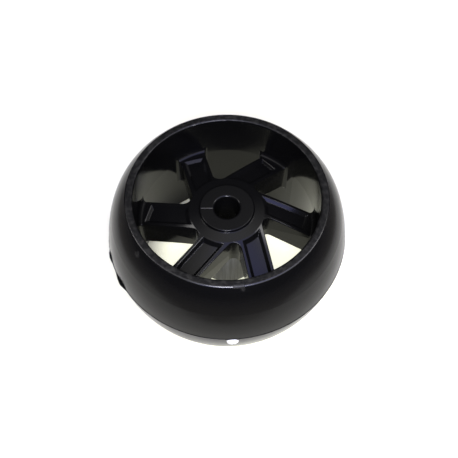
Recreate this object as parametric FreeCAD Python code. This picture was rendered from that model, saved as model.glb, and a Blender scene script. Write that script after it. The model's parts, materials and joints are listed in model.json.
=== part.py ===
"""Lawn mower deck wheel: one black moulding with a crowned rim, six leaning spokes and a plain bore.

Millimetres. Z runs along the bore, the wheel lies on its side, and z = 0 is the parting plane of the tread.
"""
import FreeCAD
import Part

import math
import os

V = FreeCAD.Vector

# Rim
WHEEL_D = 127.0          # over the crown, at the parting line
WIDTH = 68.0             # lip to lip
CROWN_TILT = 4.6         # degrees that the tread leans in beside the parting line
CROWN_R = 85.0           # tread radius beside the parting line
TREAD_HALF = 19.4        # height above the parting line where the shoulder starts
LIP_W = 4.5              # lip, with a flat top between its rounded edges
LIP_EDGE_R = 1.0
LIP_IN_R = 47.2          # inside of the rim just under the lips
WALL_R = 46.7            # inside of the rim where the two cores meet, its narrowest
CORE_Z = 8.6             # height of that inner parting plane, which runs through the windows

# Hub
BARREL_R = 19.0
BARREL_DRAFT = 0.9       # degrees, below the spokes
FOOT_Z = -26.8           # lower end of the barrel
FOOT_EDGE_R = 0.8
FACE_RISE = 0.7          # the hub's face rises this much from its edge to the boss
BOSS_R = 14.1
BOSS_TOP_Z = 22.0
BOSS_EDGE_R = 0.5
BOSS_FOOT_R = 0.5        # fillet between the boss and the hub's face
AXLE_R = 6.35            # half-inch axle bolt
AXLE_GAP = 0.2           # running clearance all round it
BORE_EDGE_R = 1.0

# Spokes
SPOKES = 6
SPOKE_LEAN = -15.9       # degrees between the first spoke and the radius it starts from
SPOKE_W = 14.1           # at the inner parting plane
SPOKE_OFFSET = 8.6       # distance of a spoke's centre line from the axis
ROOT_R = 19.4            # edge of the hub's face, where the spokes start to fall
TOP_AT_ROOT = 19.7
TOP_AT_RIM = 9.9
UNDER_AT_ROOT = 3.5
UNDER_AT_RIM = -8.3
SPOKE_DRAFT = 1.5        # degrees each way from the inner parting plane
ARCH_R = 3.8             # window corner at the hub
CORNER_R = 2.4           # window corners at the rim
RIM_FILLET = 2.0         # spoke faces into the rim
LAP = 2.0                # how far the spokes run into the hub and the rim
SEAM = 0.05              # how far a window's outer edge runs into the rim's wall

# Sunk panel on each face of a spoke
RIB_W = 1.6
PANEL_DEPTH = 1.6
PANEL_BEVEL = 1.7        # run of the sloping sides
PANEL_ROOT_R = 20.0      # upper edge of the end at the hub, which is round the axis
PANEL_ROOT_BEVEL = 1.2   # run of that end
PANEL_RIM_BAND = 4.9     # plain band left between the panel and the rim
EDGE_R = 0.35            # rounding of the ribs' edges

STEP = 360.0 / SPOKES
BORE_R = AXLE_R + AXLE_GAP
RIM_RUN = WALL_R - ROOT_R


def spoke_axes(index):
    """Unit vectors along a spoke, outwards, and across it, counter-clockwise."""
    a = math.radians(SPOKE_LEAN + STEP * index)
    return V(math.cos(a), math.sin(a), 0), V(-math.sin(a), math.cos(a), 0)


def arch_centre():
    """Centre of the first window's corner at the hub, one radius from both spokes."""
    n0 = spoke_axes(0)[1]
    n1 = spoke_axes(1)[1]
    a = SPOKE_OFFSET + SPOKE_W / 2 + ARCH_R
    b = SPOKE_OFFSET - SPOKE_W / 2 - ARCH_R
    det = n0.x * n1.y - n0.y * n1.x
    return V((a * n1.y - b * n0.y) / det, (b * n0.x - a * n1.x) / det, 0)


def rz(r, z):
    """Point of a turned outline, drawn through the first window so that no seam crosses a spoke."""
    out = arch_centre().normalize()
    return r * out + V(0, 0, z)


def line(start, end):
    return Part.makeLine(rz(*start), rz(*end))


def arc(centre, radius, from_deg, to_deg):
    """Arc in the (r, z) plane, from one direction to another."""
    points = []
    for degrees in (from_deg, (from_deg + to_deg) / 2, to_deg):
        a = math.radians(degrees)
        points.append(rz(centre[0] + radius * math.cos(a), centre[1] + radius * math.sin(a)))
    return Part.Arc(*points).toShape()


def turned(edges):
    """Solid of revolution from a closed outline in the (r, z) plane."""
    return Part.Face(Part.Wire(edges)).revolve(V(0, 0, 0), V(0, 0, 1), 360)


def polygon(points):
    return [line(a, b) for a, b in zip(points, points[1:] + points[:1])]


def rim():
    """Tread, shoulder and lip above the parting line and again below it, with two drafted walls inside."""
    tread_c = (WHEEL_D / 2 - CROWN_R * math.cos(math.radians(CROWN_TILT)),
               -CROWN_R * math.sin(math.radians(CROWN_TILT)))
    shoulder_deg = math.degrees(math.asin((TREAD_HALF - tread_c[1]) / CROWN_R))
    n = (math.cos(math.radians(shoulder_deg)), math.sin(math.radians(shoulder_deg)))
    tread_end = (tread_c[0] + CROWN_R * n[0], TREAD_HALF)
    # The shoulder is tangent to the tread and to the lip.
    e = LIP_EDGE_R
    lip_r = LIP_IN_R + LIP_W - e
    lip_z = WIDTH / 2 - e
    w = (tread_end[0] - lip_r, tread_end[1] - lip_z)
    shoulder_r = (w[0] ** 2 + w[1] ** 2 - e ** 2) / (2 * (w[0] * n[0] + w[1] * n[1] - e))
    shoulder_c = (tread_end[0] - shoulder_r * n[0], tread_end[1] - shoulder_r * n[1])
    lip_deg = math.degrees(math.atan2(lip_z - shoulder_c[1], lip_r - shoulder_c[0]))
    outline = []
    for side in (1, -1):
        outline.append(arc((tread_c[0], side * tread_c[1]), CROWN_R, side * CROWN_TILT, side * shoulder_deg))
        outline.append(arc((shoulder_c[0], side * shoulder_c[1]), shoulder_r,
                           side * shoulder_deg, side * lip_deg))
        outline.append(arc((lip_r, side * lip_z), e, side * lip_deg, side * 90.0))
        outline.append(line((lip_r, side * WIDTH / 2), (LIP_IN_R + e, side * WIDTH / 2)))
        outline.append(arc((LIP_IN_R + e, side * lip_z), e, side * 90.0, side * 180.0))
        outline.append(line((LIP_IN_R, side * lip_z), (WALL_R, CORE_Z)))
    return turned(Part.__sortEdges__(outline)), lip_z


def wall_radius(z, lip_z):
    """Inside radius of the rim at a height between the lips."""
    end = lip_z if z > CORE_Z else -lip_z
    return WALL_R + (LIP_IN_R - WALL_R) * (z - CORE_Z) / (end - CORE_Z)


def hub():
    """Barrel, raised boss and bore, with every edge that shows rounded."""
    foot_r = BARREL_R - (CORE_Z - FOOT_Z) * math.tan(math.radians(BARREL_DRAFT))
    e, b, c = FOOT_EDGE_R, BOSS_EDGE_R, BORE_EDGE_R
    outline = [
        line((BORE_R + c, FOOT_Z), (foot_r - e, FOOT_Z)),
        arc((foot_r - e, FOOT_Z + e), e, -90, 0),
        line((foot_r, FOOT_Z + e), (BARREL_R, CORE_Z)),
        line((BARREL_R, CORE_Z), (BOSS_R, CORE_Z)),
        line((BOSS_R, CORE_Z), (BOSS_R, BOSS_TOP_Z - b)),
        arc((BOSS_R - b, BOSS_TOP_Z - b), b, 0, 90),
        line((BOSS_R - b, BOSS_TOP_Z), (BORE_R + c, BOSS_TOP_Z)),
        arc((BORE_R + c, BOSS_TOP_Z - c), c, 90, 180),
        line((BORE_R, BOSS_TOP_Z - c), (BORE_R, FOOT_Z + c)),
        arc((BORE_R + c, FOOT_Z + c), c, 180, 270),
    ]
    return turned(outline)


def on_cone(at_root, at_rim, r):
    """Height of a spoke face, which lies on a cone, at this distance from the axis."""
    return at_root + (at_rim - at_root) * (r - ROOT_R) / RIM_RUN


def fillet(wall_r, out, radius, at_wall, slope, side):
    """Curve from a sloping face to an upright wall, with its ends on the wall and on the face.

    It lies outside (1) or inside (-1) the wall, and over (1) or under (-1) the face, which meets the wall
    at this height.
    """
    c_r = wall_r + out * radius
    c_z = at_wall + slope * out * radius + side * radius * math.hypot(1, slope)
    face_deg = math.degrees(math.atan(slope)) - side * 90
    wall_deg = -90 * (1 + out)
    a = math.radians(face_deg)
    on_face = (c_r + radius * math.cos(a), c_z + radius * math.sin(a))
    return arc((c_r, c_z), radius, face_deg, wall_deg), (wall_r, c_z), on_face


def web():
    """Dished disc that the spokes are cut from: the hub's face, and two cones that curve into the rim."""
    inner, outer = BOSS_R - LAP, WALL_R + LAP
    face_slope = -FACE_RISE / (ROOT_R - BOSS_R)
    curve, on_boss, on_face = fillet(BOSS_R, 1, BOSS_FOOT_R, TOP_AT_ROOT + FACE_RISE, face_slope, 1)
    start = (inner, on_boss[1])
    edges = [line(start, on_boss), curve, line(on_face, (ROOT_R, TOP_AT_ROOT))]
    ends = []
    for at_root, at_rim, side in ((TOP_AT_ROOT, TOP_AT_RIM, 1), (UNDER_AT_ROOT, UNDER_AT_RIM, -1)):
        curve, on_rim, on_face = fillet(WALL_R, -1, RIM_FILLET, at_rim, (at_rim - at_root) / RIM_RUN, side)
        end = (outer, on_rim[1])
        edges.extend([line((ROOT_R, at_root), on_face), curve, line(on_rim, end)])
        ends.append(end)
    edges.append(line(*ends))
    edges.append(line((ROOT_R, UNDER_AT_ROOT), (inner, UNDER_AT_ROOT)))
    edges.append(line((inner, UNDER_AT_ROOT), start))
    return turned(Part.__sortEdges__(edges))


def plan_arc(centre, radius, first, last):
    """Arc from one unit direction to another, the short way round."""
    mid = (first + last).normalize()
    return Part.Arc(*(centre + radius * d for d in (first, mid, last))).toShape()


def window_outline(z, lip_z):
    """Rounded outline, at one height, of the window between the first spoke and the next."""
    grown = abs(z - CORE_Z) * math.tan(math.radians(SPOKE_DRAFT))
    u0, n0 = spoke_axes(0)
    u1, n1 = spoke_axes(1)
    side0 = SPOKE_OFFSET + SPOKE_W / 2 - grown
    side1 = SPOKE_OFFSET - SPOKE_W / 2 + grown
    wall = wall_radius(z, lip_z) + SEAM
    arch_r = ARCH_R + grown
    arch = arch_centre()

    # Centres of the two corners at the rim
    corner_r = CORNER_R + grown
    reach = wall - corner_r
    a, b = side0 + corner_r, side1 - corner_r
    corner0 = a * n0 + math.sqrt(reach ** 2 - a ** 2) * u0
    corner1 = b * n1 + math.sqrt(reach ** 2 - b ** 2) * u1
    out0 = corner0 / reach
    out1 = corner1 / reach

    edges = [
        plan_arc(arch, arch_r, n1, -n0),
        Part.makeLine(arch - arch_r * n0, corner0 - corner_r * n0),
        plan_arc(corner0, corner_r, -n0, out0),
        plan_arc(V(0, 0, 0), wall, out0, out1),
        plan_arc(corner1, corner_r, out1, n1),
        Part.makeLine(corner1 + corner_r * n1, arch + arch_r * n1),
    ]
    wire = Part.Wire(edges)
    wire.translate(V(0, 0, z))
    return wire


def window(lip_z):
    """Cutter for one window, drafted up and down from the inner parting plane."""
    above = TOP_AT_ROOT + LAP
    below = UNDER_AT_RIM - RIM_FILLET - LAP
    halves = []
    for z in (above, below):
        halves.append(Part.makeLoft([window_outline(CORE_Z, lip_z), window_outline(z, lip_z)], True, True))
    return halves


def panel(at_root, at_rim, side):
    """Cutter for the sunk panel on the upper (1) or lower (-1) face of the first spoke."""
    u, n = spoke_axes(0)
    end = math.sqrt(WALL_R ** 2 - SPOKE_OFFSET ** 2) - PANEL_RIM_BAND
    mid = SPOKE_OFFSET * n + (PANEL_ROOT_R + end) / 2 * u
    slope = (at_rim - at_root) / RIM_RUN

    def outline(depth):
        """The panel's edge on a plane along the face, at this depth under it."""
        in_by = PANEL_BEVEL * depth / PANEL_DEPTH
        half = SPOKE_W / 2 - RIB_W - in_by
        corners = []
        for s, d in ((0, -half), (end - in_by, -half), (end - in_by, half), (0, half)):
            p = s * u + (SPOKE_OFFSET + d) * n
            run = (p - mid).dot(mid) / mid.Length
            corners.append(p + V(0, 0, on_cone(at_root, at_rim, mid.Length) + slope * run - side * depth))
        return Part.makePolygon(corners + corners[:1])

    spread = 2 * PANEL_DEPTH
    tool = Part.makeLoft([outline(-spread), outline(spread)], True, True)

    # The floor is a cone under the face, and the end at the hub is round the axis.
    reach = 3 * spread
    outer = max(side * at_root, side * at_rim) * side + side * reach
    floor = polygon([
        (BOSS_R, on_cone(at_root, at_rim, BOSS_R) - side * PANEL_DEPTH),
        (WALL_R, on_cone(at_root, at_rim, WALL_R) - side * PANEL_DEPTH),
        (WALL_R, outer),
        (BOSS_R, outer),
    ])
    k = PANEL_ROOT_BEVEL / PANEL_DEPTH
    level = on_cone(at_root, at_rim, PANEL_ROOT_R)
    root = polygon([
        (0.0, level + side * reach),
        (PANEL_ROOT_R - k * reach, level + side * reach),
        (PANEL_ROOT_R + k * reach, level - side * reach),
        (0.0, level - side * reach),
    ])
    return tool.common(turned(floor)).cut(turned(root))


def around(tools):
    """Copies of the cutters, one set to each spoke."""
    copies = []
    for i in range(SPOKES):
        for tool in tools:
            c = tool.copy()
            c.rotate(V(0, 0, 0), V(0, 0, 1), STEP * i)
            copies.append(c)
    return copies


def rib_edges(body):
    """Edges that bound the spokes' upper faces, without those round the axis and the seam of the cone."""
    found = []
    for edge in body.Edges:
        points = edge.discretize(5)
        radii = [math.hypot(p.x, p.y) for p in points]
        level = all(abs(p.z - on_cone(TOP_AT_ROOT, TOP_AT_RIM, r)) < 1e-3 for p, r in zip(points, radii))
        if level and max(radii) - min(radii) > 0.01 and len(body.ancestorsOfType(edge, Part.Face)) == 2:
            found.append(edge)
    return found


def wheel():
    tyre, lip_z = rim()
    panels = [panel(TOP_AT_ROOT, TOP_AT_RIM, 1), panel(UNDER_AT_ROOT, UNDER_AT_RIM, -1)]
    spokes = web().cut(around(window(lip_z) + panels))
    body = tyre.fuse([hub(), spokes]).removeSplitter()
    return body.makeFillet(EDGE_R, rib_edges(body))


shape = wheel()
os.makedirs("parts", exist_ok=True)
shape.exportStep("parts/wheel.step")
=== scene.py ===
"""Looks of a lawn mower deck wheel: satin black plastic as moulded, on a white sheet under soft light."""

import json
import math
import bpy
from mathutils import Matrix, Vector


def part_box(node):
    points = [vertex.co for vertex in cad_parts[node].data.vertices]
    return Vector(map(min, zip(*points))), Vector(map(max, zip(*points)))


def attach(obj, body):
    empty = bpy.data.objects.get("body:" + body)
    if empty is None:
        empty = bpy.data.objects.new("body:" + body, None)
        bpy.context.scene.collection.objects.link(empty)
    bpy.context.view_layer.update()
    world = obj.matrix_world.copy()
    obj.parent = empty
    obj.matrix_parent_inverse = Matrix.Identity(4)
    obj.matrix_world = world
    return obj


bl_info = {
    "name": "Mower Deck Wheel",
    "version": (1, 0, 0),
    "blender": (4, 5, 0),
    "location": "View3D > Sidebar > Wheel",
    "description": "Finishes a moulded deck wheel: plastic, flash, mould marks, table, light and camera",
    "category": "Object",
}

import bmesh
import bpy
from mathutils import Matrix, Vector, noise

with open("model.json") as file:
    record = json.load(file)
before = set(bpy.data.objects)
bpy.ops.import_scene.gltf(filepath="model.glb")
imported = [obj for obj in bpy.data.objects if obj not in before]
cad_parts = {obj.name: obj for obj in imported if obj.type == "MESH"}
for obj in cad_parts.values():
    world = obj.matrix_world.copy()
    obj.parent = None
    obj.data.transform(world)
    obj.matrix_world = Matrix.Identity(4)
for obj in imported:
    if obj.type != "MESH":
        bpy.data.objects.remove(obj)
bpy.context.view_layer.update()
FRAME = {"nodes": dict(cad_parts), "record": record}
LOW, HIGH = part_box("wheel")

MM = 0.001

# Sizes of the wheel that marks and masks follow
CROWN_R = HIGH.x                 # tread at the parting line
CROWN_ARC = 85 * MM              # radius of the tread's curve from there to the shoulder
CROWN_TILT = 4.6                 # degrees that the tread leans in beside the parting line
LIP_TOP = HIGH.z
LIP_EDGE = 1.0 * MM              # rounding of the lip's edges
LIP_OUT_R = 51.7 * MM            # where the lip's rounded edge turns into the shoulder
WALL_R = 46.7 * MM               # inside of the rim
BARREL_R = 19.2 * MM             # hub's barrel under the spokes, halfway up its draft
BARREL_BAND = 1.0 * MM           # how far its draft takes it to either side of that
BARREL_TOP = 3.0 * MM
BOSS_TOP = FRAME["record"]["mounts"][1]["pos_m"][2]

# Finish of the plastic
PLASTIC_IOR = 1.51
BUMP_DEPTH = 0.2 * MM            # depth of the skin's grain and of torn fibres
SOUND_BUMP = 0.03                # strength of the grain on sound skin
RUBBED_BUMP = 0.6                # strength of the grain where it is rubbed or torn
CLOUDS = (-0.04, 0.05)           # how far the flow marks take the roughness down and up
LIP_SPAN = (0.6, 0.2)            # depths under the lip's top, in edges, where its finish starts and is full
LAND_SPAN = (0.5, 1.2)           # and how far in, in edges, where its rubbed land starts and is full
SPECK_SPAN = (0.46, 0.62)        # noise from which a speck of the land is rubbed, and rubbed in full
SPECK_AMOUNT = 0.3               # share of the rubs' colour in such a speck
NICK_AMOUNT = 1.2                # how much more rubbed the places beside the land are
NICK_CORE = 0.4                  # share of such a place's size that is rubbed in full
REFLECTION_STRETCH = 0.05              # the barrel's painted reflection runs in streaks along the bore
WALL_TO_FACE = (0.2, 0.7)        # upright part of the normal on a wall, and on a face
FIBRE_SIZE = 0.8 * MM            # fibres of torn plastic
FIBRE_ROUGH = (0.4, 0.7)

# Rubbed places beside the lip: radius, angle round the bore in degrees, height and size, in millimetres
RUBBED_PLACES = (
    (53.7, 216.4, 30.8, 2.4),
    (52.2, 278.2, 32.6, 1.5),
    (49.2, 155.4, 34.0, 3.0),
    (47.8, 78.9, 32.6, 2.2),
)

# Flash on the parting line
FLASH_SINK = 0.3 * MM            # how deep its foot is sunk into the tread
FLASH_TIP = (-0.1, 0.6)          # lower and upper corner of its tip, in halves of its thickness
FLASH_STEPS = 720
FLASH_WAVES = ((1.0, 60), (0.6, 170))  # amount and frequency of the noise that makes it ragged
LAND_RAGGED, FIN_RAGGED, BURR_RAGGED = 0.5, 0.3, 0.1  # share of that noise in each
FIN_SPREAD = (4.0, 6.0)          # degrees over which the fin rises and falls
BURR_SPREAD = (8.0, 5.0)
BURR_SWELL = 2.0                 # how much thicker than the ridge the burr is

# Torn gate stub; shares are of its radius
GATE_SEGMENTS = 48
GATE_RINGS = 4                   # rings of faces on its top
GATE_RING = 0.2                  # width of a ring
GATE_DROP = 1.1                  # how far its middle lies under the parting line
GATE_RAGGED = (0.10, 2.5)        # amount and frequency of the noise in its outline
GATE_TORN = (0.25, 4)            # and in its height
GATE_EDGE = 0.05 * MM            # how deep its edge starts under the tread
GATE_SINK = 0.8 * MM             # how deep its foot is sunk into the rim

# Trimmed patch over the lip's outer edge
PATCH_PROUD = 0.15 * MM
PATCH_FOOT, PATCH_START = 1.3 * MM, 1.0 * MM  # how far in its foot and its top start on the land
PATCH_ARC = (90, 65, 40, 15)     # degrees of its points round the edge
PATCH_STEPS = 16
PATCH_RAGGED = 0.10 * MM
PATCH_FREQUENCY = 1200

# Line on the boss
LINE_WIDTH, LINE_HEIGHT = 0.4 * MM, 0.2 * MM
LINE_EDGE = 0.07 * MM
LINE_AT = (-10.3 * MM, -0.55 * MM)

# Sheet and table; shares are of half the sheet
TABLE_HALF = 3.0
SHEET_ROUGH = 0.9
SHEET_CORNER = 0.1               # rounding of the sheet's corners
SHEET_FADE = (0.97, 1.03)        # where the sheet's edge starts and ends
SPOT_FADE = 1.5                  # where the spot's light ends, in radii of the spot
GLOW_COLOUR = (1.0, 1.0, 0.80, 1.0)  # linear colour of the light under the sheet

# Soft patches of light in the room: ways to their middles and cosines of the angles to their edges
OVERHEAD_WAY = Vector((0.2, -0.2, 0.96)).normalized()
OVERHEAD_EDGE = 0.6
WINDOW_WAY = Vector((-0.02, -0.75, 0.66)).normalized()
WINDOW_EDGE = 0.955
WINDOW_SQUEEZE = 0.6             # makes the window wider than it is high
LAMP_WAYS = [Vector((x, 0.19, 0.83)).normalized() for x in (0.54, -0.54)]
LAMP_EDGE = 0.985
PATCH_POWER = 1.7                # how steeply a patch fades towards its edge
BLUE_FROM = 0.5                  # share of the ceiling's strength from which light turns blue

# Camera
IMAGE_W = 458                    # pixels across the picture
SENSOR_W = 36.0                  # millimetres
CLIP_START = 0.01


def linear(hex_colour):
    """Linear RGBA of an sRGB hex colour."""
    parts = [int(hex_colour[i:i + 2], 16) / 255 for i in (1, 3, 5)]
    return [c / 12.92 if c <= 0.04045 else ((c + 0.055) / 1.055) ** 2.4 for c in parts] + [1.0]


def on_ring(radius, degrees, height):
    """Point at this radius and angle round the bore."""
    a = math.radians(degrees)
    return Vector((radius * math.cos(a), radius * math.sin(a), height))


def hump(degrees, middle, spread):
    """1 at the middle angle, falling smoothly to 0 at the spread's degrees before and after it."""
    before, after = spread
    off = degrees - middle
    t = min(1.0, off / after if off > 0 else -off / before)
    return 0.5 + 0.5 * math.cos(math.pi * t)


def tread_radius(height):
    """Radius of the crowned tread at a height from its parting line."""
    lean = math.radians(CROWN_TILT)
    across = abs(height) + CROWN_ARC * math.sin(lean)
    return CROWN_R - CROWN_ARC * math.cos(lean) + math.sqrt(CROWN_ARC ** 2 - across ** 2)


def shader(tree, kind, inputs=None, **settings):
    """Add a node with its settings; an input is a value or the output socket that feeds it."""
    made = tree.nodes.new(kind)
    for name, value in settings.items():
        setattr(made, name, value)
    for socket, value in (inputs or {}).items():
        if isinstance(value, bpy.types.NodeSocket):
            tree.links.new(value, made.inputs[socket])
        else:
            made.inputs[socket].default_value = value
    return made


def new_material(name):
    """Material with an empty node tree, and that tree."""
    material = bpy.data.materials.new(name)
    material.use_nodes = True
    material.node_tree.nodes.clear()
    return material, material.node_tree


def finish_material(tree, surface):
    """Join the surface to the material's output."""
    shader(tree, "ShaderNodeOutputMaterial", {"Surface": surface.outputs[0]})


def add_piece(name, bm, material):
    """Turn a bmesh into a smooth piece that rides on the wheel."""
    bmesh.ops.remove_doubles(bm, verts=bm.verts, dist=0.001 * MM)
    bmesh.ops.recalc_face_normals(bm, faces=bm.faces)
    for face in bm.faces:
        face.smooth = True
    mesh = bpy.data.meshes.new(name)
    bm.to_mesh(mesh)
    bm.free()
    mesh.materials.append(material)
    piece = bpy.data.objects.new(name, mesh)
    bpy.context.scene.collection.objects.link(piece)
    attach(piece, "root")
    return piece


class PlasticFinish(bpy.types.PropertyGroup):
    """Black polyethylene as it comes out of the mould."""
    colour: bpy.props.StringProperty(
        name="Colour", description="sRGB colour of the plastic", default="#0a0a0a")
    rub_colour: bpy.props.StringProperty(
        name="Rubs", description="sRGB colour of rubbed plastic", default="#3c3b37")
    # Painted reflection: a pale colour streaked along the hub's barrel that stands in for the floor's light
    # reflected there.
    barrel_reflection_colour: bpy.props.StringProperty(
        name="Dragged skin", description="sRGB colour of the barrel's drag marks", default="#828384")
    # Near-white: pale torn plastic, brightened into a painted highlight.
    torn_highlight_colour: bpy.props.StringProperty(
        name="Torn plastic", description="sRGB colour where the gate tore off", default="#f4f4ef")
    tread_rough: bpy.props.FloatProperty(
        name="Tread", description="Roughness of the tread's satin skin",
        default=0.2, min=0.0, max=1.0, subtype="FACTOR")
    inside_rough: bpy.props.FloatProperty(
        name="Inside", description="Roughness inside the rim, off polished cores",
        default=0.13, min=0.0, max=1.0, subtype="FACTOR")
    lip_rough: bpy.props.FloatProperty(
        name="Lips", description="Roughness of the lips' rubbed tops",
        default=0.32, min=0.0, max=1.0, subtype="FACTOR")
    edge_rough: bpy.props.FloatProperty(
        name="Lip edges", description="Roughness of the lips' outer edges, rubbed smooth",
        default=0.22, min=0.0, max=1.0, subtype="FACTOR")
    tread_shine: bpy.props.FloatProperty(
        name="Tread shine", description="Specular level of the tread",
        default=0.088, min=0.0, max=1.0, subtype="FACTOR")
    wall_shine: bpy.props.FloatProperty(
        name="Wall shine", description="Specular level of walls that the cores drew along",
        default=0.12, min=0.0, max=1.0, subtype="FACTOR")
    face_shine: bpy.props.FloatProperty(
        name="Face shine", description="Specular level of faces that the cores pressed",
        default=0.175, min=0.0, max=1.0, subtype="FACTOR")
    lip_shine: bpy.props.FloatProperty(
        name="Lip shine", description="Specular level of the lips' rubbed tops",
        default=0.2, min=0.0, max=1.0, subtype="FACTOR")
    edge_shine: bpy.props.FloatProperty(
        name="Lip edge shine", description="Specular level of the lips' outer edges",
        default=0.6, min=0.0, max=1.0, subtype="FACTOR")
    edge: bpy.props.FloatProperty(
        name="Edges", description="Softness of the moulded edges", default=0.45 * MM, unit="LENGTH")
    flow_size: bpy.props.FloatProperty(
        name="Flow marks", description="Length of the faint cloudy flow marks",
        default=22 * MM, unit="LENGTH")
    grain_size: bpy.props.FloatProperty(
        name="Grain", description="Size of the skin's grain, drawn coarser than real",
        default=1.1 * MM, unit="LENGTH")
    # Width of the streaks of the barrel's painted reflection.
    reflection_streak_size: bpy.props.FloatProperty(
        name="Drag marks", description="Width of the drag marks on the hub's barrel",
        default=1.4 * MM, unit="LENGTH")
    rub_size: bpy.props.FloatProperty(
        name="Rub size", description="Size of the small rubs on the lips", default=2.4 * MM, unit="LENGTH")


class FlashSizes(bpy.types.PropertyGroup):
    """Flash along the tread's parting line."""
    land: bpy.props.FloatProperty(
        name="Ridge", description="Height of the fine ridge all round", default=0.16 * MM, unit="LENGTH")
    thickness: bpy.props.FloatProperty(
        name="Thickness", description="Thickness of the flash at its foot",
        default=0.50 * MM, unit="LENGTH")
    fin: bpy.props.FloatProperty(
        name="Fin", description="Height of the thin fin", default=0.7 * MM, unit="LENGTH")
    fin_at: bpy.props.FloatProperty(
        name="Fin at", description="Angle of the thin fin round the bore, in degrees", default=195.0)
    burr: bpy.props.FloatProperty(
        name="Burr", description="Height of the thick burr", default=0.95 * MM, unit="LENGTH")
    burr_at: bpy.props.FloatProperty(
        name="Burr at", description="Angle of the thick burr round the bore, in degrees", default=211.0)


class MarkSizes(bpy.types.PropertyGroup):
    """Gate scar on the tread, witness mark on the lip and line on the boss."""
    gate_d: bpy.props.FloatProperty(
        name="Gate", description="Diameter of the torn gate", default=6.4 * MM, unit="LENGTH")
    gate_lift: bpy.props.FloatProperty(
        name="Gate stub", description="How far the torn stub stands out",
        default=1.2 * MM, unit="LENGTH")
    gate_at: bpy.props.FloatProperty(
        name="Gate at", description="Angle of the gate round the bore, in degrees", default=272.6)
    patch_from: bpy.props.FloatProperty(
        name="Patch from", description="First edge of the lip's mark, in degrees", default=273.2)
    patch_to: bpy.props.FloatProperty(
        name="Patch to", description="Last edge of the lip's mark, in degrees", default=279.3)
    line_length: bpy.props.FloatProperty(
        name="Boss line", description="Length of the line on the boss", default=6.2 * MM, unit="LENGTH")


class StageSettings(bpy.types.PropertyGroup):
    """Table, light and camera."""
    sheet_colour: bpy.props.StringProperty(
        name="Sheet", description="sRGB colour of the white sheet", default="#fbf9e2")
    table_colour: bpy.props.StringProperty(
        name="Table", description="sRGB colour of the table round it", default="#a6a08c")
    sheet_glow: bpy.props.FloatProperty(
        name="Sheet glow", description="Light from under the sheet", default=0.03)
    spot_glow: bpy.props.FloatProperty(
        name="Spot glow", description="Light from under the sheet's middle", default=0.87)
    spot_at: bpy.props.FloatVectorProperty(
        name="Spot at", description="Middle of that brighter spot",
        default=(10 * MM, -8 * MM), size=2, unit="LENGTH")
    spot_r: bpy.props.FloatProperty(
        name="Spot size", description="Radius of that brighter spot", default=42 * MM, unit="LENGTH")
    sheet_half: bpy.props.FloatVectorProperty(
        name="Sheet size", description="Half the sheet's width and length",
        default=(182 * MM, 176 * MM), size=2, unit="LENGTH")
    sheet_back: bpy.props.FloatProperty(
        name="Sheet back", description="How far the sheet's middle lies behind the wheel",
        default=54 * MM, unit="LENGTH")
    key_power: bpy.props.FloatProperty(
        name="Key light", description="Power of the soft light above the camera",
        default=1.3, unit="POWER")
    key_size: bpy.props.FloatProperty(
        name="Key size", description="Diameter of that light", default=120 * MM, unit="LENGTH")
    key_at: bpy.props.FloatVectorProperty(
        name="Key at", description="Place of that light",
        default=(0, -240 * MM, 335 * MM), size=3, unit="LENGTH")
    sky: bpy.props.FloatProperty(
        name="Ceiling", description="Strength of the soft light overhead", default=3.6)
    window: bpy.props.FloatProperty(
        name="Window", description="Strength of the window behind the camera", default=8.0)
    lamps: bpy.props.FloatProperty(
        name="Lamps", description="Strength of the two small lamps overhead", default=15.0)
    sky_colour: bpy.props.StringProperty(
        name="Daylight", description="sRGB colour of ceiling and window", default="#b0b4fb")
    room_colour: bpy.props.StringProperty(
        name="Room colour", description="sRGB colour of the dim room and the lamps", default="#f6f4f2")
    room: bpy.props.FloatProperty(
        name="Room", description="Strength of the dim room around", default=0.02)
    distance: bpy.props.FloatProperty(
        name="Camera distance", description="From the wheel's centre", default=380 * MM, unit="LENGTH")
    elevation: bpy.props.FloatProperty(
        name="Camera height", description="Angle above the table",
        default=math.radians(59.5), subtype="ANGLE")
    focal_px: bpy.props.FloatProperty(
        name="Focal length", description="In pixels of the picture", default=702.4)
    aside_px: bpy.props.FloatProperty(
        name="Aside", description="How far left of centre the wheel stands, in pixels", default=2.1)


class WheelSettings(bpy.types.PropertyGroup):
    """Everything a user may change."""
    plastic: bpy.props.PointerProperty(type=PlasticFinish)
    flash: bpy.props.PointerProperty(type=FlashSizes)
    marks: bpy.props.PointerProperty(type=MarkSizes)
    stage: bpy.props.PointerProperty(type=StageSettings)


def rubbed_lips(tree, place, height, radius):
    """Masks of the lip, of its land inside the outer edge, and of all that is rubbed."""
    lip = shader(
        tree, "ShaderNodeMapRange",
        {"Value": height, "From Min": LIP_TOP - LIP_SPAN[0] * LIP_EDGE,
         "From Max": LIP_TOP - LIP_SPAN[1] * LIP_EDGE},
        interpolation_type="SMOOTHSTEP").outputs[0]
    land = shader(
        tree, "ShaderNodeMapRange",
        {"Value": radius, "From Min": LIP_OUT_R - LAND_SPAN[0] * LIP_EDGE,
         "From Max": LIP_OUT_R - LAND_SPAN[1] * LIP_EDGE}).outputs[0]
    worn = shader(tree, "ShaderNodeMath", {0: lip, 1: land}, operation="MULTIPLY").outputs[0]
    for r, degrees, z, size in RUBBED_PLACES:
        near = shader(
            tree, "ShaderNodeVectorMath", {0: place, 1: on_ring(r * MM, degrees, z * MM)},
            operation="DISTANCE")
        spot = shader(
            tree, "ShaderNodeMapRange",
            {"Value": near.outputs["Value"], "From Min": size * MM,
             "From Max": NICK_CORE * size * MM, "To Max": NICK_AMOUNT},
            interpolation_type="SMOOTHSTEP")
        worn = shader(
            tree, "ShaderNodeMath", {0: worn, 1: spot.outputs[0]}, operation="MAXIMUM").outputs[0]
    return lip, land, worn


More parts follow.
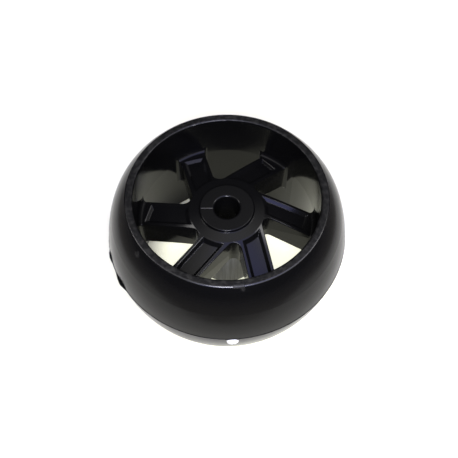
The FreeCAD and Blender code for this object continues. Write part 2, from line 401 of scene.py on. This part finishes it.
def plastic_colour(tree, finish, place, height, radius, worn):
    """Black with specks of rubbed plastic, and a painted reflection in pale streaks along the hub's barrel.
    """
    specks = shader(
        tree, "ShaderNodeTexNoise",
        {"Vector": place, "Scale": 1 / finish.rub_size, "Detail": 3.0, "Roughness": 0.65})
    speck = shader(
        tree, "ShaderNodeMapRange",
        {"Value": specks.outputs["Fac"], "From Min": SPECK_SPAN[0], "From Max": SPECK_SPAN[1],
         "To Max": SPECK_AMOUNT})
    rubbed = shader(
        tree, "ShaderNodeMath", {0: speck.outputs[0], 1: worn}, operation="MULTIPLY", use_clamp=True)
    scuffed = shader(
        tree, "ShaderNodeMix",
        {"Factor": rubbed.outputs[0], "A": linear(finish.colour), "B": linear(finish.rub_colour)},
        data_type="RGBA")

    # Pale streaks low on the hub's barrel are a painted reflection of the bright floor, not a mark in the
    # plastic.
    barrel = shader(tree, "ShaderNodeMath", {0: radius, 1: BARREL_R, 2: BARREL_BAND}, operation="COMPARE")
    below = shader(tree, "ShaderNodeMath", {0: height, 1: BARREL_TOP}, operation="LESS_THAN")
    stretched = shader(
        tree, "ShaderNodeVectorMath", {0: place, 1: (1.0, 1.0, REFLECTION_STRETCH)}, operation="MULTIPLY")
    sheen = shader(
        tree, "ShaderNodeTexNoise",
        {"Vector": stretched.outputs[0], "Scale": 1 / finish.reflection_streak_size, "Detail": 2.0})
    streaks = shader(
        tree, "ShaderNodeMath", {0: sheen.outputs["Fac"], 1: below.outputs[0]}, operation="MULTIPLY")
    painted_sheen = shader(
        tree, "ShaderNodeMath", {0: streaks.outputs[0], 1: barrel.outputs[0]}, operation="MULTIPLY")
    return shader(
        tree, "ShaderNodeMix",
        {"Factor": painted_sheen.outputs[0], "A": scuffed.outputs["Result"], "B": linear(finish.barrel_reflection_colour)},
        data_type="RGBA").outputs["Result"]


def plastic_roughness(tree, finish, place, radius, lip, land):
    """Satin on the tread, smoother inside the rim, rubbed on the lips, with faint clouds of flow."""
    flow = shader(
        tree, "ShaderNodeTexNoise",
        {"Vector": place, "Scale": 1 / finish.flow_size, "Detail": 3.0, "Roughness": 0.55})
    clouds = shader(
        tree, "ShaderNodeMapRange",
        {"Value": flow.outputs["Fac"], "From Min": 0.3, "From Max": 0.7,
         "To Min": CLOUDS[0], "To Max": CLOUDS[1]})
    skin = shader(
        tree, "ShaderNodeMapRange",
        {"Value": radius, "From Min": WALL_R, "From Max": LIP_OUT_R,
         "To Min": finish.inside_rough, "To Max": finish.tread_rough})
    rubbed = shader(tree, "ShaderNodeMix", {"Factor": land, "A": finish.edge_rough, "B": finish.lip_rough})
    rough = shader(tree, "ShaderNodeMix", {"Factor": lip, "A": skin.outputs[0], "B": rubbed.outputs[0]})
    return shader(
        tree, "ShaderNodeMath", {0: rough.outputs[0], 1: clouds.outputs[0]}, operation="ADD").outputs[0]


def plastic_shine(tree, finish, normal, radius, lip, land):
    """Faces that the cores pressed shine more than walls that they drew along, and the tread less."""
    upright = shader(tree, "ShaderNodeSeparateXYZ", {0: normal}).outputs["Z"]
    level = shader(tree, "ShaderNodeMath", {0: upright}, operation="ABSOLUTE")
    inside = shader(
        tree, "ShaderNodeMapRange",
        {"Value": level.outputs[0], "From Min": WALL_TO_FACE[0], "From Max": WALL_TO_FACE[1],
         "To Min": finish.wall_shine, "To Max": finish.face_shine})
    skin = shader(
        tree, "ShaderNodeMapRange",
        {"Value": radius, "From Min": WALL_R, "From Max": LIP_OUT_R,
         "To Min": inside.outputs[0], "To Max": finish.tread_shine})
    rubbed = shader(tree, "ShaderNodeMix", {"Factor": land, "A": finish.edge_shine, "B": finish.lip_shine})
    return shader(
        tree, "ShaderNodeMix", {"Factor": lip, "A": skin.outputs[0], "B": rubbed.outputs[0]}).outputs[0]


def moulded_polyethylene(finish):
    """Black polyethylene, injection moulded: satin on the tread, glossier inside, with rubbed lips."""
    material, tree = new_material("moulded_polyethylene")
    coords = shader(tree, "ShaderNodeTexCoord")
    place = coords.outputs["Object"]
    height = shader(tree, "ShaderNodeSeparateXYZ", {0: place}).outputs["Z"]
    flat = shader(tree, "ShaderNodeVectorMath", {0: place, 1: (1, 1, 0)}, operation="MULTIPLY")
    radius = shader(
        tree, "ShaderNodeVectorMath", {0: flat.outputs[0]}, operation="LENGTH").outputs["Value"]
    lip, land, worn = rubbed_lips(tree, place, height, radius)

    grain = shader(
        tree, "ShaderNodeTexNoise",
        {"Vector": place, "Scale": 1 / finish.grain_size, "Detail": 2.0, "Roughness": 0.6})
    soft_edges = shader(tree, "ShaderNodeBevel", {"Radius": finish.edge}, samples=6)
    strength = shader(
        tree, "ShaderNodeMapRange", {"Value": worn, "To Min": SOUND_BUMP, "To Max": RUBBED_BUMP})
    bump = shader(
        tree, "ShaderNodeBump",
        {"Height": grain.outputs["Fac"], "Strength": strength.outputs[0], "Distance": BUMP_DEPTH,
         "Normal": soft_edges.outputs[0]})
    surface = shader(
        tree, "ShaderNodeBsdfPrincipled",
        {"Base Color": plastic_colour(tree, finish, place, height, radius, worn),
         "Roughness": plastic_roughness(tree, finish, place, radius, lip, land),
         "IOR": PLASTIC_IOR,
         "Specular IOR Level": plastic_shine(tree, finish, coords.outputs["Normal"], radius, lip, land),
         "Normal": bump.outputs[0]})
    finish_material(tree, surface)
    return material


def torn_polyethylene(name, colour):
    """Polyethylene where it tore or was trimmed: matt and fibrous."""
    material, tree = new_material(name)
    place = shader(tree, "ShaderNodeTexCoord").outputs["Object"]
    fibres = shader(
        tree, "ShaderNodeTexNoise", {"Vector": place, "Scale": 1 / FIBRE_SIZE, "Detail": 4.0})
    bump = shader(
        tree, "ShaderNodeBump",
        {"Height": fibres.outputs["Fac"], "Strength": RUBBED_BUMP, "Distance": BUMP_DEPTH})
    rough = shader(
        tree, "ShaderNodeMapRange",
        {"Value": fibres.outputs["Fac"], "To Min": FIBRE_ROUGH[0], "To Max": FIBRE_ROUGH[1]})
    surface = shader(
        tree, "ShaderNodeBsdfPrincipled",
        {"Base Color": linear(colour), "Roughness": rough.outputs[0], "IOR": PLASTIC_IOR,
         "Normal": bump.outputs[0]})
    finish_material(tree, surface)
    return material


def table_top(stage):
    """White paper sheet, lit from below, on a greyer table."""
    material, tree = new_material("paper_on_table")
    place = shader(tree, "ShaderNodeTexCoord").outputs["Object"]
    centred = shader(
        tree, "ShaderNodeVectorMath", {0: place, 1: (0, stage.sheet_back, 0)}, operation="SUBTRACT")
    scaled = shader(
        tree, "ShaderNodeVectorMath",
        {0: centred.outputs[0], 1: (1 / stage.sheet_half[0], 1 / stage.sheet_half[1], 0)},
        operation="MULTIPLY")
    size = shader(tree, "ShaderNodeVectorMath", {0: scaled.outputs[0]}, operation="ABSOLUTE")
    sides = shader(tree, "ShaderNodeSeparateXYZ", {0: size.outputs[0]})
    away = shader(
        tree, "ShaderNodeMath", {0: sides.outputs[0], 1: sides.outputs[1], 2: SHEET_CORNER},
        operation="SMOOTH_MAX")
    fade = shader(
        tree, "ShaderNodeMapRange",
        {"Value": away.outputs[0], "From Min": SHEET_FADE[0], "From Max": SHEET_FADE[1]},
        interpolation_type="SMOOTHSTEP")
    colour = shader(
        tree, "ShaderNodeMix",
        {"Factor": fade.outputs[0], "A": linear(stage.sheet_colour), "B": linear(stage.table_colour)},
        data_type="RGBA")
    # The light under the sheet is strongest below the wheel.
    middle = shader(
        tree, "ShaderNodeVectorMath", {0: place, 1: (*stage.spot_at, LOW.z)}, operation="DISTANCE")
    spot = shader(
        tree, "ShaderNodeMapRange",
        {"Value": middle.outputs["Value"], "From Min": stage.spot_r, "From Max": SPOT_FADE * stage.spot_r,
         "To Min": stage.spot_glow, "To Max": stage.sheet_glow},
        interpolation_type="SMOOTHSTEP")
    glow = shader(tree, "ShaderNodeMix", {"Factor": fade.outputs[0], "A": spot.outputs[0], "B": 0.0})
    surface = shader(
        tree, "ShaderNodeBsdfPrincipled",
        {"Base Color": colour.outputs["Result"], "Roughness": SHEET_ROUGH, "Emission Color": GLOW_COLOUR,
         "Emission Strength": glow.outputs[0]})
    finish_material(tree, surface)
    return material


class WHEEL_OT_moulding(bpy.types.Operator):
    """Give the moulded wheel its plastic"""
    bl_idname = "wheel.moulding"
    bl_label = "Finish the moulding"

    def execute(self, context):
        material = moulded_polyethylene(context.scene.mower_wheel.plastic)
        wheel = FRAME["nodes"]["wheel"]
        wheel.data.materials.clear()
        wheel.data.materials.append(material)
        return {"FINISHED"}


class WHEEL_OT_flash(bpy.types.Operator):
    """Add the flash along the tread's parting line"""
    bl_idname = "wheel.flash"
    bl_label = "Add the flash"

    def execute(self, context):
        sizes = context.scene.mower_wheel.flash
        foot = CROWN_R - FLASH_SINK
        half = sizes.thickness / 2
        bm = bmesh.new()
        low, high = (share * half for share in FLASH_TIP)
        profile = ((foot, -half), (CROWN_R, low), (CROWN_R, high), (foot, half))
        corners = [bm.verts.new((radius, 0, height)) for radius, height in profile]
        edges = [bm.edges.new(pair) for pair in zip(corners, corners[1:] + corners[:1])]
        bmesh.ops.spin(
            bm, geom=corners + edges, cent=(0, 0, 0), axis=(0, 0, 1), angle=math.tau, steps=FLASH_STEPS,
            use_merge=True)
        tip = [vert for vert in bm.verts if vert.co.xy.length > CROWN_R - FLASH_SINK / 2]
        for vert in tip:
            degrees = math.degrees(math.atan2(vert.co.y, vert.co.x)) % 360
            way = vert.co.normalized()
            ragged = sum(amount * noise.noise(way * frequency) for amount, frequency in FLASH_WAVES)
            fin = hump(degrees, sizes.fin_at, FIN_SPREAD)
            burr = hump(degrees, sizes.burr_at, BURR_SPREAD)
            height = sizes.land * (1 + LAND_RAGGED * ragged)
            height += sizes.fin * fin * (1 + FIN_RAGGED * ragged)
            height += sizes.burr * burr * (1 + BURR_RAGGED * ragged)
            vert.co.xy *= (CROWN_R + height) / vert.co.xy.length
            vert.co.z *= 1 + BURR_SWELL * burr
        add_piece("parting_flash", bm, bpy.data.materials["moulded_polyethylene"])
        return {"FINISHED"}


class WHEEL_OT_marks(bpy.types.Operator):
    """Add the gate scar, the lip's witness mark and the line on the boss"""
    bl_idname = "wheel.marks"
    bl_label = "Add the mould's marks"

    def execute(self, context):
        settings = context.scene.mower_wheel
        plastic = settings.plastic
        # The gate stub's near-white colour is partly a painted highlight.
        self.gate_scar(settings.marks, torn_polyethylene("torn_polyethylene", plastic.torn_highlight_colour))
        self.lip_patch(settings.marks, torn_polyethylene("trimmed_polyethylene", plastic.colour))
        self.boss_line(settings.marks, torn_polyethylene("rubbed_polyethylene", plastic.rub_colour))
        return {"FINISHED"}

    def gate_scar(self, sizes, material):
        """Stub under the parting line, where the sprue tore off; its near-white colour is pale torn plastic
        with a painted highlight in it.
        """
        gate_r = sizes.gate_d / 2
        bm = bmesh.new()
        bmesh.ops.create_circle(bm, cap_ends=True, radius=1.0, segments=GATE_SEGMENTS)
        for _ in range(GATE_RINGS):
            middle = max(bm.faces, key=lambda face: len(face.verts))
            bmesh.ops.inset_region(
                bm, faces=[middle], thickness=GATE_RING, use_boundary=True, use_even_offset=True)
        for vert in bm.verts:
            inside = 1 - vert.co.length_squared ** 3
            ragged = 1 + GATE_RAGGED[0] * noise.noise(vert.co * GATE_RAGGED[1])
            torn = 1 + GATE_TORN[0] * noise.noise(vert.co * GATE_TORN[1])
            height = gate_r * (vert.co.y * ragged - GATE_DROP)
            lift = sizes.gate_lift * inside * torn - GATE_EDGE
            aside = math.degrees(gate_r * vert.co.x * ragged / CROWN_R)
            vert.co = on_ring(tread_radius(height) + lift, sizes.gate_at + aside, height)
        # The stub's foot is sunk into the rim, which closes the shape.
        rim = [edge for edge in bm.edges if edge.is_boundary]
        foot = bmesh.ops.extrude_edge_only(bm, edges=rim)["geom"]
        foot_verts = [item for item in foot if isinstance(item, bmesh.types.BMVert)]
        foot_edges = [item for item in foot if isinstance(item, bmesh.types.BMEdge)]
        sunk = 1 - GATE_SINK / CROWN_R
        bmesh.ops.scale(bm, verts=foot_verts, vec=(sunk, sunk, 1))
        bmesh.ops.edgeloop_fill(bm, edges=foot_edges)
        add_piece("gate_scar", bm, material)

    def lip_patch(self, sizes, material):
        """Low trimmed patch over the lip's outer edge."""
        middle = Vector((LIP_OUT_R - LIP_EDGE, 0, LIP_TOP - LIP_EDGE))
        top = LIP_EDGE + PATCH_PROUD
        sunk = LIP_EDGE - PATCH_PROUD
        points = [(-PATCH_FOOT, sunk), (-PATCH_START, top)]
        for degrees in PATCH_ARC:
            a = math.radians(degrees)
            points.append((top * math.cos(a), top * math.sin(a)))
        points.append((sunk, 0))
        bm = bmesh.new()
        face = bm.faces.new([bm.verts.new(middle + Vector((out, 0, up))) for out, up in points])
        bmesh.ops.rotate(
            bm, verts=bm.verts, cent=(0, 0, 0),
            matrix=Matrix.Rotation(math.radians(sizes.patch_from), 3, "Z"))
        bmesh.ops.spin(
            bm, geom=[face] + list(face.edges) + list(face.verts), cent=(0, 0, 0), axis=(0, 0, 1),
            angle=math.radians(sizes.patch_to - sizes.patch_from), steps=PATCH_STEPS)
        for vert in bm.verts:
            vert.co += vert.co.normalized() * PATCH_RAGGED * noise.noise(vert.co * PATCH_FREQUENCY)
        add_piece("lip_patch", bm, material)

    def boss_line(self, sizes, material):
        """Fine raised line that runs out from the bore."""
        bm = bmesh.new()
        bmesh.ops.create_cube(bm, size=1.0)
        bmesh.ops.scale(bm, verts=bm.verts, vec=(sizes.line_length, LINE_WIDTH, LINE_HEIGHT))
        bmesh.ops.bevel(
            bm, geom=list(bm.edges), offset=LINE_EDGE, affect="EDGES", segments=2, profile=0.5, material=-1)
        bmesh.ops.translate(bm, verts=bm.verts, vec=(*LINE_AT, BOSS_TOP))
        add_piece("boss_line", bm, material)


class WHEEL_OT_stage(bpy.types.Operator):
    """Set the table, the soft light and the camera"""
    bl_idname = "wheel.stage"
    bl_label = "Set the stage"

    def execute(self, context):
        stage = context.scene.mower_wheel.stage
        self.table(context, stage)
        self.key_light(context, stage)
        self.room(context, stage)
        self.camera(context, stage)
        return {"FINISHED"}

    def table(self, context, stage):
        """Flat table that the wheel lies on."""
        bm = bmesh.new()
        bmesh.ops.create_grid(bm, x_segments=1, y_segments=1, size=TABLE_HALF)
        bmesh.ops.translate(bm, verts=bm.verts, vec=(0, 0, LOW.z))
        mesh = bpy.data.meshes.new("table")
        bm.to_mesh(mesh)
        bm.free()
        mesh.materials.append(table_top(stage))
        table = bpy.data.objects.new("table", mesh)
        context.scene.collection.objects.link(table)

    def key_light(self, context, stage):
        """Round soft light above the camera, turned to the wheel."""
        disk = bpy.data.lights.new("key", "AREA")
        disk.shape = "DISK"
        disk.size = stage.key_size
        disk.energy = stage.key_power
        key = bpy.data.objects.new("key", disk)
        key.location = stage.key_at
        key.rotation_euler = key.location.to_track_quat("Z", "Y").to_euler()
        context.scene.collection.objects.link(key)

    def room(self, context, stage):
        """Dim room with a bluish ceiling, a window behind the camera and two small lamps."""
        world = bpy.data.worlds.new("dim_room")
        world.use_nodes = True
        tree = world.node_tree
        background = tree.nodes["Background"]
        overhead = self.soft_patch(tree, OVERHEAD_WAY, 1.0, OVERHEAD_EDGE, stage.room, stage.sky)
        window = self.soft_patch(tree, WINDOW_WAY, WINDOW_SQUEEZE, WINDOW_EDGE, 0.0, stage.window)
        strength = shader(tree, "ShaderNodeMath", {0: overhead, 1: window}, operation="ADD").outputs[0]
        blue = shader(
            tree, "ShaderNodeMapRange",
            {"Value": strength, "From Min": BLUE_FROM * stage.sky, "From Max": stage.sky})
        for lamp_way in LAMP_WAYS:
            lamp = self.soft_patch(tree, lamp_way, 1.0, LAMP_EDGE, 0.0, stage.lamps)
            strength = shader(tree, "ShaderNodeMath", {0: strength, 1: lamp}, operation="ADD").outputs[0]
        colour = shader(
            tree, "ShaderNodeMix",
            {"Factor": blue.outputs[0], "A": linear(stage.room_colour), "B": linear(stage.sky_colour)},
            data_type="RGBA")
        tree.links.new(colour.outputs["Result"], background.inputs["Color"])
        tree.links.new(strength, background.inputs["Strength"])
        context.scene.world = world
        context.scene.view_settings.view_transform = "Standard"

    def soft_patch(self, tree, middle, squeeze, edge, dim, bright):
        """Strength of a patch of light, fading from its middle to its edge; a squeeze under 1 widens it."""
        way = shader(tree, "ShaderNodeTexCoord").outputs["Generated"]
        wide = shader(tree, "ShaderNodeVectorMath", {0: way, 1: (squeeze, 1, 1)}, operation="MULTIPLY")
        unit = shader(tree, "ShaderNodeVectorMath", {0: wide.outputs[0]}, operation="NORMALIZE")
        off = shader(tree, "ShaderNodeVectorMath", {0: unit.outputs[0], 1: middle}, operation="DOT_PRODUCT")
        near = shader(
            tree, "ShaderNodeMapRange", {"Value": off.outputs["Value"], "From Min": edge, "From Max": 1.0})
        soft = shader(tree, "ShaderNodeMath", {0: near.outputs[0], 1: PATCH_POWER}, operation="POWER")
        return shader(
            tree, "ShaderNodeMapRange",
            {"Value": soft.outputs[0], "To Min": dim, "To Max": bright}).outputs[0]

    def camera(self, context, stage):
        """Camera in front of the wheel and above it, turned to its centre."""
        data = bpy.data.cameras.new("camera")
        data.sensor_width = SENSOR_W
        data.lens = stage.focal_px / IMAGE_W * data.sensor_width
        data.shift_x = stage.aside_px / IMAGE_W
        data.clip_start = CLIP_START
        camera = bpy.data.objects.new("camera", data)
        out = Vector((0, -math.cos(stage.elevation), math.sin(stage.elevation)))
        camera.location = out * stage.distance
        camera.rotation_euler = (math.pi / 2 - stage.elevation, 0, 0)
        context.scene.collection.objects.link(camera)
        context.scene.camera = camera


class WHEEL_PT_sidebar(bpy.types.Panel):
    """Lists the wheel's pieces and settings"""
    bl_idname = "WHEEL_PT_sidebar"
    bl_label = "Mower deck wheel"
    bl_space_type = "VIEW_3D"
    bl_region_type = "UI"
    bl_category = "Wheel"

    def draw(self, context):
        settings = context.scene.mower_wheel
        for operator, group in ((WHEEL_OT_moulding, settings.plastic), (WHEEL_OT_flash, settings.flash),
                                (WHEEL_OT_marks, settings.marks), (WHEEL_OT_stage, settings.stage)):
            box = self.layout.box()
            box.operator(operator.bl_idname)
            for name in group.__annotations__:
                box.prop(group, name)


CLASSES = (
    PlasticFinish, FlashSizes, MarkSizes, StageSettings, WheelSettings,
    WHEEL_OT_moulding, WHEEL_OT_flash, WHEEL_OT_marks, WHEEL_OT_stage, WHEEL_PT_sidebar,
)


def register():
    for cls in CLASSES:
        bpy.utils.register_class(cls)
    bpy.types.Scene.mower_wheel = bpy.props.PointerProperty(type=WheelSettings)


def unregister():
    del bpy.types.Scene.mower_wheel
    for cls in reversed(CLASSES):
        bpy.utils.unregister_class(cls)


def main():
    register()
    bpy.ops.wheel.moulding()
    bpy.ops.wheel.flash()
    bpy.ops.wheel.marks()
    bpy.ops.wheel.stage()


if __name__ == "__main__":
    main()
